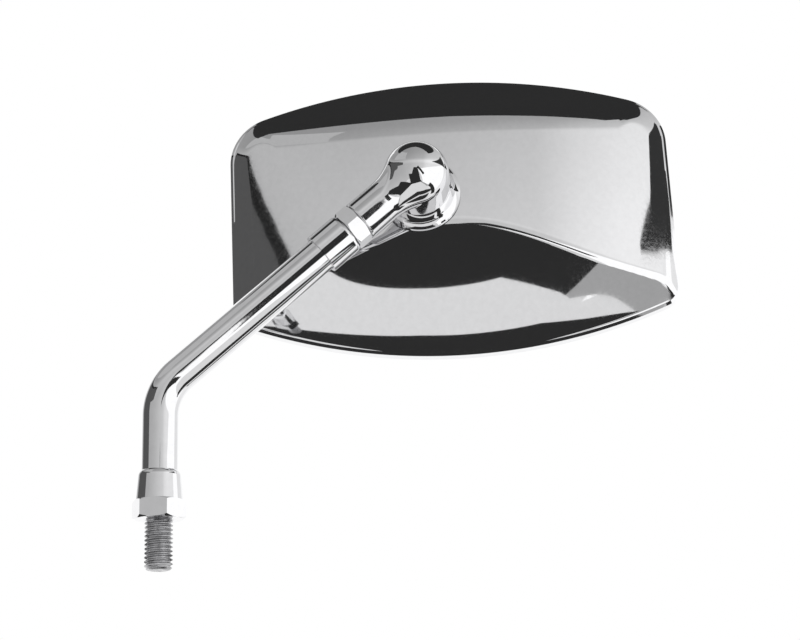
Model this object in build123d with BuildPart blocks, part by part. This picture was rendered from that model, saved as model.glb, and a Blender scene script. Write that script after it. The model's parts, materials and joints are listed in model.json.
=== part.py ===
"""Motorcycle mirror: bent stem on an M10 stud, elbow head with a sprung dome joint, housing and glass."""
import os
from math import acos, asin, cos, degrees, hypot, radians, sin, sqrt, tan

from build123d import *

# Driving dimensions, in millimetres and degrees.

# Stem: a bent rod whose two ends are turned down and threaded.
ROD_D = 13.0
THREAD_D = 10.0
THREAD_PITCH = 1.5
STUD_LENGTH = 18.0
STUD_POINT = 1.8
SHOULDER_HEIGHT = 8.0
BEND_HEIGHT = 46.6
BEND_RADIUS = 20.0
STEM_INCLINE = 40.6
STEM_REACH = 122.8
SHOULDER_GAP = 1.0
SPIGOT_START = 14.0
SPIGOT_POINT = 1.0

# Play between threads, and the small gaps that keep neighbouring pieces apart.
THREAD_PLAY = 0.1
FACE_GAP = 0.05
SEAT_GAP = 0.25
ROD_PLAY = 0.15

# Lock nut at the foot of the stem: a hexagon with a tapered skirt.
FOOT_NUT_AF = 17.0
FOOT_NUT_TURN = -6.6
FOOT_NUT_HEX = 6.8
FOOT_SKIRT_HEIGHT = 10.4
FOOT_SKIRT_BASE_D = 16.9
FOOT_SKIRT_TOP_D = 15.4
FOOT_SKIRT_SHOULDER = 1.8
FOOT_SKIRT_LAND = 0.2
NUT_CHAMFER_ANGLE = 30.0
NUT_COUNTERSINK = 0.9

# Lock nut under the head: a hexagon with a round collar.
HEAD_NUT_AF = 14.2
HEAD_NUT_TURN = 0.0
HEAD_NUT_GRIP = 2.2
HEAD_NUT_HEX = 5.8
COLLAR_D = 15.6
COLLAR_LENGTH = 12.7
COLLAR_ROUND = 1.6
COLLAR_CHAMFER = 0.6

# Elbow head: a domed cup with a tube on its side.
CUP_D = 24.2
CUP_SKIRT = 10.5
TUBE_D = 15.5
TUBE_LENGTH = 28.0
TUBE_BLEND = 20.0
TUBE_END_ROUND = 0.5
LIP_WALL = 1.0
LIP_ROUND = 0.4
HEAD_TURN = 7.8

# Dome joint: every spherical face is centred on the pedestal's foot.
FOOT_DISTANCE = 18.7
DOME_OVERHANG = 1.3
DOME_WALL = 2.2
DOME_HOLE_ANGLE = 34.0
SEAT_RING_RECESS = 0.5
SEAT_RING_HEIGHT = 2.3
CUP_CLEARANCE = 0.7
PRESSURE_CUP_WALL = 1.75
PRESSURE_CUP_HOLE_ANGLE = 33.0
PRESSURE_CUP_SKIRT = 3.2
SPRING_SEAT_STEP = 1.95
SPRING_SEAT_FOOT = 3.5

# Pedestal foot, its gasket and what clamps it to the housing.
FLANGE_LAND = 2.0
FLANGE_EDGE = 1.2
FLANGE_FLARE = 2.4
GASKET = 0.6
SPIGOT_WALL = 1.8
SPIGOT_PROUD = 0.6
SPIGOT_HOLE_PLAY = 0.15
STIFFENER_WIDTH = 60.0
STIFFENER_MARGIN = 1.5
STIFFENER = 1.5
STIFFENER_CORNER_R = 4.0
SADDLE_RIM = 1.4
RING_NUT_WALL = 3.4
RING_NUT_HEIGHT = 4.0
RING_NUT_SLOTS = 6
RING_NUT_SLOT_WIDTH = 4.0
RING_NUT_SLOT_DEPTH = 1.6

# Clamp bolt, its washer and its spring.
BOLT_D = 6.0
BOLT_PITCH = 1.0
BOLT_ENGAGEMENT = 9.0
BOLT_RUNOUT = 1.0
BOLT_HEAD_AF = 10.0
BOLT_HEAD = 4.0
WASHER_D = 12.0
WASHER = 1.2
SHANK_PLAY = 0.3
SPRING_LENGTH = 17.2
SPRING_WIRE = 1.5
SPRING_MEAN_D = 9.4
SPRING_COILS = 5.5
SPRING_ROOM = 1.5

# Housing: a barrel back, a sloped top, steep ends and a swollen lower facet.
RIM_WIDTH = 172.0
RIM_SIDE = 80.0
TOP_CROWN = 16.6
BOTTOM_CROWN = 17.7
TOP_CORNER_R = 20.0
BOTTOM_CORNER_R = 8.0
END_DEPTH = 7.6
BARREL_R = 172.0
BACK_PITCH = 2.5
PEDESTAL_OFFSET = -11.4
PEDESTAL_DROP = 1.8
MIRROR_ROLL = 2.1
TOP_RUN = 26.7879
END_DRAFT = 31.0
FACET_RUN = 40.8729
FACET_END_DRAFT = 40.0
FACET_SWELL = 4.5
CORNER_TAPER = 0.7
FORM_MARGIN = 4.0
BACK_ROUND = 4.0
SHEET = 1.0
BAND_HEIGHT = 5.4
BAND_LEDGE = 1.0

# Glass, its rubber seal and the pad behind it.
GLASS = 2.0
GLASS_R = 1400.0
GLASS_PROUD = 1.0
SEAL_WALL = 1.4
SEAL_LIP = 1.2
SEAL_PROUD = 0.8
SEAL_GAP = 0.1
PAD = 2.0
PAD_MARGIN = 6.0

# Worked-out sizes and places.

PITCH_FACTOR = 0.6495
thread_pitch_r = (THREAD_D - PITCH_FACTOR * THREAD_PITCH) / 2
bolt_pitch_r = (BOLT_D - PITCH_FACTOR * BOLT_PITCH) / 2

bend_corner = Vector(0, 0, BEND_HEIGHT)
rod_dir = Vector(cos(radians(STEM_INCLINE)), 0, sin(radians(STEM_INCLINE)))
cup_centre = bend_corner + rod_dir * STEM_REACH
rod_axis = Axis(cup_centre, rod_dir)
# Local x runs back down the rod from the cup's centre, and local y runs out from the rod.
rod_section = Plane(origin=cup_centre, x_dir=rod_dir * -1, z_dir=(0, -1, 0))

# The cup points square to the rod, turned about it by HEAD_TURN from the plane of the bend.
side_dir = Vector(-sin(radians(STEM_INCLINE)), 0, cos(radians(STEM_INCLINE)))
cup_dir = Vector(0, -cos(radians(HEAD_TURN)), 0) + side_dir * sin(radians(HEAD_TURN))
foot_centre = cup_centre - cup_dir * FOOT_DISTANCE
cup_axis = Axis(foot_centre, cup_dir)
level_dir = Vector(0, 0, 1).cross(cup_dir).normalized()
# Pedestal frame: z leaves the housing's back, x runs along the housing, y up it.
rise_dir = cup_dir.cross(level_dir)
along_dir = level_dir * cos(radians(MIRROR_ROLL)) + rise_dir * sin(radians(MIRROR_ROLL))
foot_plane = Plane(origin=foot_centre, x_dir=along_dir, z_dir=cup_dir)
# Half-section of everything turned about the cup's axis: x is the radius, y the height above the foot.
cup_section = Plane(origin=foot_centre, x_dir=foot_plane.x_dir, z_dir=foot_plane.y_dir * -1)

nut_bore_r = thread_pitch_r + THREAD_PLAY
rod_clear_r = ROD_D / 2 + ROD_PLAY
skirt_top = FOOT_NUT_HEX + FOOT_SKIRT_HEIGHT
head_nut_start = TUBE_LENGTH + FACE_GAP
collar_start = head_nut_start + HEAD_NUT_HEX
shoulder_distance = collar_start + HEAD_NUT_GRIP
rod_end = cup_centre - rod_dir * shoulder_distance
head_nut_plane = Plane(
    origin=cup_centre - rod_dir * head_nut_start, x_dir=(0, -1, 0), z_dir=rod_dir * -1
)

# The throat's arc touches both the cup's crown and the tube.
throat_y = TUBE_D / 2 + TUBE_BLEND
throat_centre = (sqrt((CUP_D / 2 + TUBE_BLEND) ** 2 - throat_y**2), throat_y)
flare_start = degrees(asin(throat_y / (CUP_D / 2 + TUBE_BLEND)))

# Heights above the foot, along the cup's axis.
lip_height = FOOT_DISTANCE - CUP_SKIRT
cavity_r = CUP_D / 2 - LIP_WALL
dome_r = CUP_D / 2 + DOME_OVERHANG
seat_ring_foot = lip_height + SEAT_RING_RECESS
shelf_height = seat_ring_foot + SEAT_RING_HEIGHT
ceiling_r = dome_r + CUP_CLEARANCE
shelf_angle = degrees(asin(shelf_height / ceiling_r))
ring_low_angle = degrees(asin(seat_ring_foot / (dome_r + SEAT_GAP)))
ring_high_angle = degrees(asin((shelf_height - FACE_GAP) / (dome_r + SEAT_GAP)))
flange_top = GASKET + FLANGE_EDGE
flare_angle = degrees(asin((flange_top + FLANGE_FLARE) / dome_r))
spigot_r = dome_r - DOME_WALL + SPIGOT_WALL
spigot_hole_r = spigot_r + SPIGOT_HOLE_PLAY
flange_r = spigot_r + FLANGE_LAND
shank_clear_r = BOLT_D / 2 + SHANK_PLAY

spring_r = SPRING_MEAN_D / 2
spring_top = SPRING_SEAT_FOOT - FACE_GAP
spring_foot = spring_top - SPRING_LENGTH
washer_foot = spring_foot - FACE_GAP - WASHER
bolt_seat = washer_foot - FACE_GAP
bolt_end = ceiling_r + BOLT_ENGAGEMENT
bolt_head_plane = Plane(
    origin=foot_centre + cup_dir * bolt_seat, x_dir=foot_plane.x_dir, z_dir=cup_dir * -1
)

ring_nut_r = spigot_r + THREAD_PLAY + RING_NUT_WALL
stiffener_height = 2 * (ring_nut_r + STIFFENER_MARGIN)
saddle_drop = BARREL_R - sqrt(BARREL_R**2 - ring_nut_r**2)
ring_nut_seat = -(SHEET + STIFFENER + saddle_drop + SADDLE_RIM)
ring_nut_foot = ring_nut_seat - FACE_GAP - RING_NUT_HEIGHT
spigot_end = ring_nut_foot - SPIGOT_PROUD

glass_inset = SHEET + SEAL_GAP + SEAL_WALL
glass_low = -GLASS_PROUD - SEAL_PROUD
dome_inner_r = dome_r - DOME_WALL
pressure_outer_r = dome_inner_r - SEAT_GAP
pressure_inner_r = pressure_outer_r - PRESSURE_CUP_WALL
spring_seat_sphere_r = pressure_inner_r - SEAT_GAP
spring_seat_r = spring_seat_sphere_r - SPRING_SEAT_STEP

# The back rises from its ends to its crest by the barrel's own rise.
back_depth = END_DEPTH + BARREL_R - sqrt(BARREL_R**2 - (RIM_WIDTH / 2) ** 2)
# Each wall leans in by its run from the band to the crest.
top_slope = TOP_RUN / (back_depth - BAND_HEIGHT)
facet_slope = FACET_RUN / (back_depth - BAND_HEIGHT)
# The barrel's axis lies one radius under the pedestal's foot and runs up the housing.
barrel_axis = foot_plane.location * Location((0, 0, -BARREL_R))
barrel_plane = Plane(
    origin=barrel_axis.position, x_dir=foot_plane.x_dir, z_dir=foot_plane.y_dir
)
foot_turn = degrees(asin(PEDESTAL_OFFSET / BARREL_R))
# Rim frame: the rim lies in z = 0, x runs along it and y up it.
rim_plane = Plane(
    barrel_axis
    * Location((0, PEDESTAL_DROP, 0), (0, -foot_turn, 0))
    * Location((0, 0, BARREL_R), (BACK_PITCH, 0, 0))
    * Location((0, 0, -back_depth))
)
# Half-section of the glass's sphere, centred behind the rim: y runs along the rim's normal.
glass_section = Plane(
    origin=rim_plane.origin + rim_plane.z_dir * (GLASS_R - GLASS_PROUD),
    x_dir=rim_plane.x_dir,
    z_dir=rim_plane.y_dir * -1,
)


def crown_radius(chord, crown):
    """Radius of the arc that rises by crown over a chord."""
    return ((chord / 2) ** 2 + crown**2) / (2 * crown)


top_r = crown_radius(RIM_WIDTH, TOP_CROWN)
bottom_r = crown_radius(RIM_WIDTH, BOTTOM_CROWN)
top_axis_y = RIM_SIDE / 2 + TOP_CROWN - top_r
bottom_axis_y = -RIM_SIDE / 2 - BOTTOM_CROWN + bottom_r


def rim_outline(inset):
    """Face bounded by the rim's outline, moved inwards by inset, at z = 0 of its own plane."""
    half = RIM_WIDTH / 2
    side = RIM_SIDE / 2
    with BuildSketch() as outline:
        with BuildLine():
            top = ThreePointArc((-half, side), (0, side + TOP_CROWN), (half, side))
            bottom = ThreePointArc((-half, -side), (0, -side - BOTTOM_CROWN), (half, -side))
            Line(top @ 0, bottom @ 0)
            Line(top @ 1, bottom @ 1)
        make_face()
        corners = outline.vertices().sort_by(Axis.Y)
        fillet(corners[-2:], TOP_CORNER_R)
        fillet(outline.vertices().sort_by(Axis.Y)[:2], BOTTOM_CORNER_R)
        if inset:
            offset(amount=-inset)
    return outline.sketch


def rim_slab(inset, low, high):
    """Solid with the rim's outline, moved inwards by inset, between two heights above the rim."""
    with BuildPart() as slab:
        with BuildSketch(rim_plane.offset(low)):
            add(rim_outline(inset))
        extrude(amount=high - low)
    return slab.part


def barrel(radius):
    """Drum whose crest runs up the housing's back."""
    with BuildPart() as drum:
        with BuildSketch(barrel_plane):
            Circle(radius)
        extrude(amount=RIM_WIDTH, both=True)
    return drum.part


def wall_outline(height, skin, swell=0):
    """Outline of the walls at a height above the rim, moved in by skin, its lower side out by swell."""
    rise = height - BAND_HEIGHT
    corner_share = 1 - CORNER_TAPER * rise / (back_depth + FORM_MARGIN - BAND_HEIGHT)
    foot_half = RIM_WIDTH / 2 - BAND_LEDGE - skin / cos(radians(END_DRAFT))
    half = foot_half - rise * tan(radians(END_DRAFT))
    upper_r = top_r - BAND_LEDGE - skin * hypot(1, top_slope) - rise * top_slope
    upper_y = top_axis_y + sqrt(upper_r**2 - half**2)
    # The facet's foot follows the rim's arc, and it leans in more at its middle than at its ends.
    lower_r = bottom_r - BAND_LEDGE - skin * hypot(1, facet_slope)
    middle_y = bottom_axis_y - lower_r + rise * facet_slope - swell
    lower_y = bottom_axis_y - sqrt(lower_r**2 - foot_half**2) + rise * tan(radians(FACET_END_DRAFT))
    with BuildSketch(rim_plane.offset(height)) as outline:
        with BuildLine():
            upper = ThreePointArc((-half, upper_y), (0, top_axis_y + upper_r), (half, upper_y))
            lower = ThreePointArc((-half, lower_y), (0, middle_y), (half, lower_y))
            Line(upper @ 0, lower @ 0)
            Line(upper @ 1, lower @ 1)
        make_face()
        upper_corners = outline.vertices().sort_by(Axis.Y)[-2:]
        fillet(upper_corners, (TOP_CORNER_R - BAND_LEDGE - skin) * corner_share)
        lower_corners = outline.vertices().sort_by(Axis.Y)[:2]
        fillet(lower_corners, (BOTTOM_CORNER_R - BAND_LEDGE - skin) * corner_share)
    return outline.sketch.face()


def housing_form(skin):
    """Solid inside the housing's back and walls, moved in by skin: lofted walls capped by the barrel."""
    start = BAND_HEIGHT - skin
    summit = back_depth + FORM_MARGIN
    middle = (start + summit) / 2
    with BuildPart() as form:
        loft(
            [
                wall_outline(start, skin),
                wall_outline(middle, skin, FACET_SWELL),
                wall_outline(summit, skin),
            ]
        )
        add(barrel(BARREL_R - skin), mode=Mode.INTERSECT)
        crest = form.faces().filter_by(GeomType.CYLINDER).sort_by(SortBy.AREA)[-1]
        fillet(crest.edges(), BACK_ROUND - skin)
    return form.part


def ring(inner_r, outer_r, low, high):
    """Plain ring round the cup's axis, between two heights above the foot."""
    with BuildPart() as blank:
        with BuildSketch(foot_plane.offset(low)):
            Circle(outer_r)
            Circle(inner_r, mode=Mode.SUBTRACT)
        extrude(amount=high - low)
    return blank.part


def hexagon(plane, across_flats, height, turn):
    """Hexagon standing on a plane, the corners of both its ends turned off."""
    corner_r = across_flats / sqrt(3)
    bevel = (corner_r - across_flats / 2) * tan(radians(NUT_CHAMFER_ANGLE))
    section = Plane(origin=plane.origin, x_dir=plane.x_dir, z_dir=plane.y_dir * -1)
    with BuildPart() as blank:
        with BuildSketch(plane):
            RegularPolygon(across_flats / 2, 6, major_radius=False, rotation=turn)
        extrude(amount=height)
        with BuildSketch(section):
            with BuildLine():
                Polyline(
                    (0, 0),
                    (across_flats / 2, 0),
                    (corner_r, bevel),
                    (corner_r, height - bevel),
                    (across_flats / 2, height),
                    (0, height),
                    close=True,
                )
            make_face()
        revolve(axis=Axis(plane.origin, plane.z_dir), mode=Mode.INTERSECT)
    return blank.part


def saddle_space(radius, clear_r):
    """What lies under a barrel of the given radius, outside a cylinder round the cup's axis."""
    with BuildPart() as space:
        add(ring(clear_r, 2 * flange_r, -back_depth, back_depth))
        add(barrel(radius), mode=Mode.INTERSECT)
    return space.part


def glass_ball(depth):
    """Ball whose front is the sphere lying depth behind the front of the glass."""
    with BuildPart() as ball:
        with BuildSketch(glass_section):
            with BuildLine():
                front = CenterArc((0, 0), GLASS_R - depth, -90, 180)
                Line(front @ 0, front @ 1)
            make_face()
        revolve(axis=Axis(glass_section.origin, glass_section.y_dir))
    return ball.part


os.makedirs("parts", exist_ok=True)

# Stem: rod swept along the bend, a stud below its shoulder and a threaded spigot at its upper end.
with BuildPart() as stem:
    with BuildLine(Plane.XZ):
        FilletPolyline(
            (0, SHOULDER_HEIGHT),
            (0, BEND_HEIGHT),
            (rod_end.X, rod_end.Z),
            radius=BEND_RADIUS,
        )
    with BuildSketch(Plane.XY.offset(SHOULDER_HEIGHT)):
        Circle(ROD_D / 2)
    sweep()
    with BuildSketch(Plane.XZ):
        with BuildLine():
            Polyline(
                (0, -STUD_LENGTH),
                (THREAD_D / 2 - STUD_POINT, -STUD_LENGTH),
                (THREAD_D / 2, STUD_POINT - STUD_LENGTH),
                (THREAD_D / 2, 0),
                (thread_pitch_r, 0),
                (thread_pitch_r, SHOULDER_HEIGHT),
                (0, SHOULDER_HEIGHT),
                close=True,
            )
        make_face()
    revolve(axis=Axis.Z)
    with BuildSketch(rod_section):
        with BuildLine():
            Polyline(
                (SPIGOT_START, 0),
                (SPIGOT_START, thread_pitch_r - SPIGOT_POINT),
                (SPIGOT_START + SPIGOT_POINT, thread_pitch_r),
                (shoulder_distance, thread_pitch_r),
                (shoulder_distance, 0),
                close=True,
            )
        make_face()
    revolve(axis=rod_axis)
stem.part.label = "stem"
export_step(stem.part, "parts/stem.step")

# Lock nut at the foot: hexagon, tapered skirt, tapped bore and a counterbore that hides the shoulder.
with BuildPart() as stem_lock_nut:
    add(hexagon(Plane.XY, FOOT_NUT_AF, FOOT_NUT_HEX, FOOT_NUT_TURN))
    with BuildSketch(Plane.XZ):
        with BuildLine():
            taper = Line(
                (FOOT_SKIRT_BASE_D / 2, FOOT_NUT_HEX), (FOOT_SKIRT_TOP_D / 2, skirt_top - FOOT_SKIRT_SHOULDER)
            )
            shoulder = TangentArc(taper @ 1, (rod_clear_r + FOOT_SKIRT_LAND, skirt_top), tangent=taper % 1)
            Polyline(shoulder @ 1, (0, skirt_top), (0, FOOT_NUT_HEX), taper @ 0)
        make_face()
    revolve(axis=Axis.Z)
    with BuildSketch(Plane.XZ):
        with BuildLine():
            Polyline(
                (0, 0),
                (nut_bore_r + NUT_COUNTERSINK, 0),
                (nut_bore_r, NUT_COUNTERSINK),
                (nut_bore_r, SHOULDER_HEIGHT - SHOULDER_GAP),
                (rod_clear_r, SHOULDER_HEIGHT - SHOULDER_GAP),
                (rod_clear_r, skirt_top),
                (0, skirt_top),
                close=True,
            )
        make_face()
    revolve(axis=Axis.Z, mode=Mode.SUBTRACT)
stem_lock_nut.part.label = "stem_lock_nut"
export_step(stem_lock_nut.part, "parts/stem_lock_nut.step")

# Lock nut under the head: hexagon against the tube's end, then a round collar over the rod's shoulder.
with BuildPart() as head_lock_nut:
    add(hexagon(head_nut_plane, HEAD_NUT_AF, HEAD_NUT_HEX, HEAD_NUT_TURN))
    with BuildSketch(rod_section) as collar_section:
        with Locations((collar_start + COLLAR_LENGTH / 2, COLLAR_D / 4)):
            Rectangle(COLLAR_LENGTH, COLLAR_D / 2)
        outer_corners = collar_section.vertices().group_by(Axis.Y)[-1].sort_by(Axis.X)
        fillet(outer_corners[0], COLLAR_ROUND)
        chamfer(outer_corners[-1], COLLAR_CHAMFER)
    revolve(axis=rod_axis)
    with BuildSketch(rod_section):
        with BuildLine():
            Polyline(
                (head_nut_start, 0),
                (head_nut_start, nut_bore_r + NUT_COUNTERSINK),
                (head_nut_start + NUT_COUNTERSINK, nut_bore_r),
                (shoulder_distance - SHOULDER_GAP, nut_bore_r),
                (shoulder_distance - SHOULDER_GAP, rod_clear_r),
                (collar_start + COLLAR_LENGTH, rod_clear_r),
                (collar_start + COLLAR_LENGTH, 0),
                close=True,
            )
        make_face()
    revolve(axis=rod_axis, mode=Mode.SUBTRACT)
head_lock_nut.part.label = "head_lock_nut"
export_step(head_lock_nut.part, "parts/head_lock_nut.step")

# Elbow head: domed cup and side tube in one casting, hollowed for the dome, the bolt and the spigot.
with BuildPart() as swivel_head:
    with BuildSketch(rod_section) as elbow_profile:
        with BuildLine():
            crown = CenterArc((0, 0), CUP_D / 2, flare_start, 180 - flare_start)
            throat = CenterArc(throat_centre, TUBE_BLEND, 180 + flare_start, 90 - flare_start)
            Polyline(throat @ 1, (TUBE_LENGTH, TUBE_D / 2), (TUBE_LENGTH, 0), crown @ 1)
        make_face()
        fillet(elbow_profile.vertices().group_by(Axis.X)[-1].sort_by(Axis.Y)[-1], TUBE_END_ROUND)
    revolve(axis=rod_axis)
    with BuildSketch(cup_section) as skirt_profile:
        with Locations((CUP_D / 4, FOOT_DISTANCE - CUP_SKIRT / 2)):
            Rectangle(CUP_D / 2, CUP_SKIRT)
        fillet(skirt_profile.vertices().group_by(Axis.Y)[0].sort_by(Axis.X)[-1], LIP_ROUND)
    revolve(axis=cup_axis)
    with BuildSketch(cup_section):
        with BuildLine():
            ceiling = CenterArc((0, 0), ceiling_r, shelf_angle, 90 - shelf_angle)
            Polyline(
                ceiling @ 0,
                (cavity_r, shelf_height),
                (cavity_r, 0),
                (0, 0),
                ceiling @ 1,
            )
        make_face()
    revolve(axis=cup_axis, mode=Mode.SUBTRACT)
    with BuildSketch(foot_plane.offset(bolt_end + BOLT_RUNOUT)):
        Circle(bolt_pitch_r + THREAD_PLAY)
    extrude(amount=-(bolt_end + BOLT_RUNOUT - shelf_height), mode=Mode.SUBTRACT)
    with BuildSketch(rod_section):
        with Locations(((TUBE_LENGTH + SPIGOT_START - SHOULDER_GAP) / 2, nut_bore_r / 2)):
            Rectangle(TUBE_LENGTH - SPIGOT_START + SHOULDER_GAP, nut_bore_r)
    revolve(axis=rod_axis, mode=Mode.SUBTRACT)
swivel_head.part.label = "swivel_head"
export_step(swivel_head.part, "parts/swivel_head.step")

# Seat ring: nylon bearing in the cup's mouth, with a spherical face for the dome.
with BuildPart() as seat_ring:
    with BuildSketch(cup_section):
        with BuildLine():
            bearing = CenterArc((0, 0), dome_r + SEAT_GAP, ring_low_angle, ring_high_angle - ring_low_angle)
            Polyline(
                bearing @ 0,
                (cavity_r - FACE_GAP, seat_ring_foot),
                (cavity_r - FACE_GAP, shelf_height - FACE_GAP),
                bearing @ 1,
            )
        make_face()
    revolve(axis=cup_axis)
seat_ring.part.label = "seat_ring"
export_step(seat_ring.part, "parts/seat_ring.step")

# Pedestal: open dome, flared flange that sits on the barrel, and a spigot through the housing.
with BuildPart() as pedestal:
    with BuildSketch(cup_section):
        with BuildLine():
            outer = CenterArc((0, 0), dome_r, flare_angle, 90 - DOME_HOLE_ANGLE - flare_angle)
            inner = CenterArc((0, 0), dome_inner_r, 0, 90 - DOME_HOLE_ANGLE)
            Line(outer @ 1, inner @ 1)
            flare = TangentArc(outer @ 0, (flange_r, flange_top), tangent=(outer % 0) * -1)
            Polyline(
                flare @ 1,
                (flange_r, -FLANGE_EDGE),
                (spigot_r, -FLANGE_EDGE),
                (spigot_r, spigot_end),
                (dome_inner_r, spigot_end),
                inner @ 0,
            )
        make_face()
    revolve(axis=cup_axis)
    add(saddle_space(BARREL_R + GASKET, spigot_r), mode=Mode.SUBTRACT)
pedestal.part.label = "pedestal"
export_step(pedestal.part, "parts/pedestal.step")

# Gasket: thin rubber ring between the flange and the housing's back.
with BuildPart() as pedestal_gasket:
    add(ring(spigot_r + FACE_GAP, flange_r, -FLANGE_EDGE, flange_top))
    add(barrel(BARREL_R + GASKET - FACE_GAP), mode=Mode.INTERSECT)
    add(barrel(BARREL_R + FACE_GAP), mode=Mode.SUBTRACT)
pedestal_gasket.part.label = "pedestal_gasket"
export_step(pedestal_gasket.part, "parts/pedestal_gasket.step")

# Pressure cup: spherical shell pushed up against the inside of the dome.
with BuildPart() as pressure_cup:
    with BuildSketch(cup_section):
        with BuildLine():
            outer_start = degrees(asin(PRESSURE_CUP_SKIRT / pressure_outer_r))
            inner_start = degrees(asin(PRESSURE_CUP_SKIRT / pressure_inner_r))
            edge_angle = 90 - PRESSURE_CUP_HOLE_ANGLE
            outer = CenterArc((0, 0), pressure_outer_r, outer_start, edge_angle - outer_start)
            inner = CenterArc((0, 0), pressure_inner_r, inner_start, edge_angle - inner_start)
            Line(outer @ 0, inner @ 0)
            Line(outer @ 1, inner @ 1)
        make_face()
    revolve(axis=cup_axis)
pressure_cup.part.label = "pressure_cup"
export_step(pressure_cup.part, "parts/pressure_cup.step")

# Spring seat: domed cap between the spring and the pressure cup.
with BuildPart() as spring_seat:
    with BuildSketch(cup_section):
        with BuildLine():
            rim_angle = degrees(acos(spring_seat_r / spring_seat_sphere_r))
            hole_angle = degrees(acos(shank_clear_r / spring_seat_sphere_r))
            crown = CenterArc((0, 0), spring_seat_sphere_r, rim_angle, hole_angle - rim_angle)
            Polyline(
                crown @ 0,
                (spring_seat_r, SPRING_SEAT_FOOT),
                (shank_clear_r, SPRING_SEAT_FOOT),
                crown @ 1,
            )
        make_face()
    revolve(axis=cup_axis)
spring_seat.part.label = "spring_seat"
export_step(spring_seat.part, "parts/spring_seat.step")

# Spring: round wire wound between the washer and the spring seat, both ends ground flat.
with BuildPart() as spring:
    with BuildLine() as coil:
        Helix(
            SPRING_LENGTH / SPRING_COILS,
            SPRING_LENGTH,
            spring_r,
            center=foot_centre + cup_dir * spring_foot,
            direction=cup_dir,
        )
    with BuildSketch(Plane(origin=coil.line @ 0, z_dir=coil.line % 0)):
        Circle(SPRING_WIRE / 2)
    sweep(path=coil.line, is_frenet=True)
    add(ring(spring_r - SPRING_ROOM, spring_r + SPRING_ROOM, spring_foot, spring_top), mode=Mode.INTERSECT)
spring.part.label = "spring"
export_step(spring.part, "parts/spring.step")

# Washer under the spring.
with BuildPart() as bolt_washer:
    add(ring(shank_clear_r, WASHER_D / 2, washer_foot, washer_foot + WASHER))
bolt_washer.part.label = "bolt_washer"
export_step(bolt_washer.part, "parts/bolt_washer.step")

# Clamp bolt: hexagon head inside the housing, shank through the spring, thread in the cup's crown.
with BuildPart() as clamp_bolt:
    add(hexagon(bolt_head_plane, BOLT_HEAD_AF, BOLT_HEAD, 0))
    with BuildSketch(foot_plane.offset(bolt_seat)):
        Circle(BOLT_D / 2)
    extrude(amount=shelf_height - bolt_seat)
    with BuildSketch(foot_plane.offset(shelf_height)):
        Circle(bolt_pitch_r)
    extrude(amount=bolt_end - shelf_height)
clamp_bolt.part.label = "clamp_bolt"
export_step(clamp_bolt.part, "parts/clamp_bolt.step")

# Housing: pressed shell with a stepped rim band and a hole for the pedestal's spigot.
with BuildPart() as housing:
    add(rim_slab(0, 0, BAND_HEIGHT))
    add(housing_form(0))
    add(housing_form(SHEET), mode=Mode.SUBTRACT)
    add(rim_slab(SHEET, 0, BAND_HEIGHT - SHEET), mode=Mode.SUBTRACT)
    with BuildSketch(foot_plane.offset(-back_depth / 2)):
        Circle(spigot_hole_r)
    extrude(amount=back_depth, mode=Mode.SUBTRACT)
housing.part.label = "housing"
export_step(housing.part, "parts/housing.step")

# Stiffener: curved plate that spreads the clamp load inside the thin shell.
with BuildPart() as stiffener_plate:
    with BuildSketch(foot_plane.offset(-back_depth / 2)):
        RectangleRounded(STIFFENER_WIDTH, stiffener_height, STIFFENER_CORNER_R)
        Circle(spigot_hole_r, mode=Mode.SUBTRACT)
    extrude(amount=back_depth)
    add(housing_form(SHEET + FACE_GAP), mode=Mode.INTERSECT)
    add(barrel(BARREL_R - SHEET - STIFFENER), mode=Mode.SUBTRACT)
stiffener_plate.part.label = "stiffener_plate"
export_step(stiffener_plate.part, "parts/stiffener_plate.step")

# Saddle washer: flat for the ring nut, curved where it lies on the stiffener.
with BuildPart() as saddle_washer:
    add(ring(spigot_hole_r, ring_nut_r, ring_nut_seat, 0))
    add(barrel(BARREL_R - SHEET - STIFFENER - FACE_GAP), mode=Mode.INTERSECT)
saddle_washer.part.label = "saddle_washer"
export_step(saddle_washer.part, "parts/saddle_washer.step")

# Ring nut: slotted for a pin wrench, screwed on the pedestal's spigot.
with BuildPart() as ring_nut:
    add(ring(spigot_r + THREAD_PLAY, ring_nut_r, ring_nut_foot, ring_nut_seat - FACE_GAP))
    with BuildSketch(foot_plane.offset(ring_nut_foot)):
        with PolarLocations(ring_nut_r, RING_NUT_SLOTS):
            Rectangle(2 * RING_NUT_SLOT_DEPTH, RING_NUT_SLOT_WIDTH)
    extrude(amount=RING_NUT_HEIGHT, mode=Mode.SUBTRACT)
ring_nut.part.label = "ring_nut"
export_step(ring_nut.part, "parts/ring_nut.step")

# Mirror glass: sheet of convex glass with the rim's outline.
with BuildPart() as mirror_glass:
    add(rim_slab(glass_inset, glass_low, BAND_HEIGHT))
    add(glass_ball(0), mode=Mode.INTERSECT)
    add(glass_ball(GLASS), mode=Mode.SUBTRACT)
mirror_glass.part.label = "mirror_glass"
export_step(mirror_glass.part, "parts/mirror_glass.step")

# Seal: rubber channel between the rim and the glass, its lip over the edge of the glass.
with BuildPart() as seal_space:
    add(rim_slab(glass_inset - FACE_GAP, glass_low, BAND_HEIGHT))
    add(glass_ball(-FACE_GAP), mode=Mode.INTERSECT)

with BuildPart() as glass_seal:
    add(rim_slab(SHEET + SEAL_GAP, -SEAL_PROUD, BAND_HEIGHT - SHEET - SEAL_GAP))
    add(rim_slab(glass_inset + SEAL_LIP, glass_low, BAND_HEIGHT), mode=Mode.SUBTRACT)
    add(seal_space.part, mode=Mode.SUBTRACT)
glass_seal.part.label = "glass_seal"
export_step(glass_seal.part, "parts/glass_seal.step")

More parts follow.
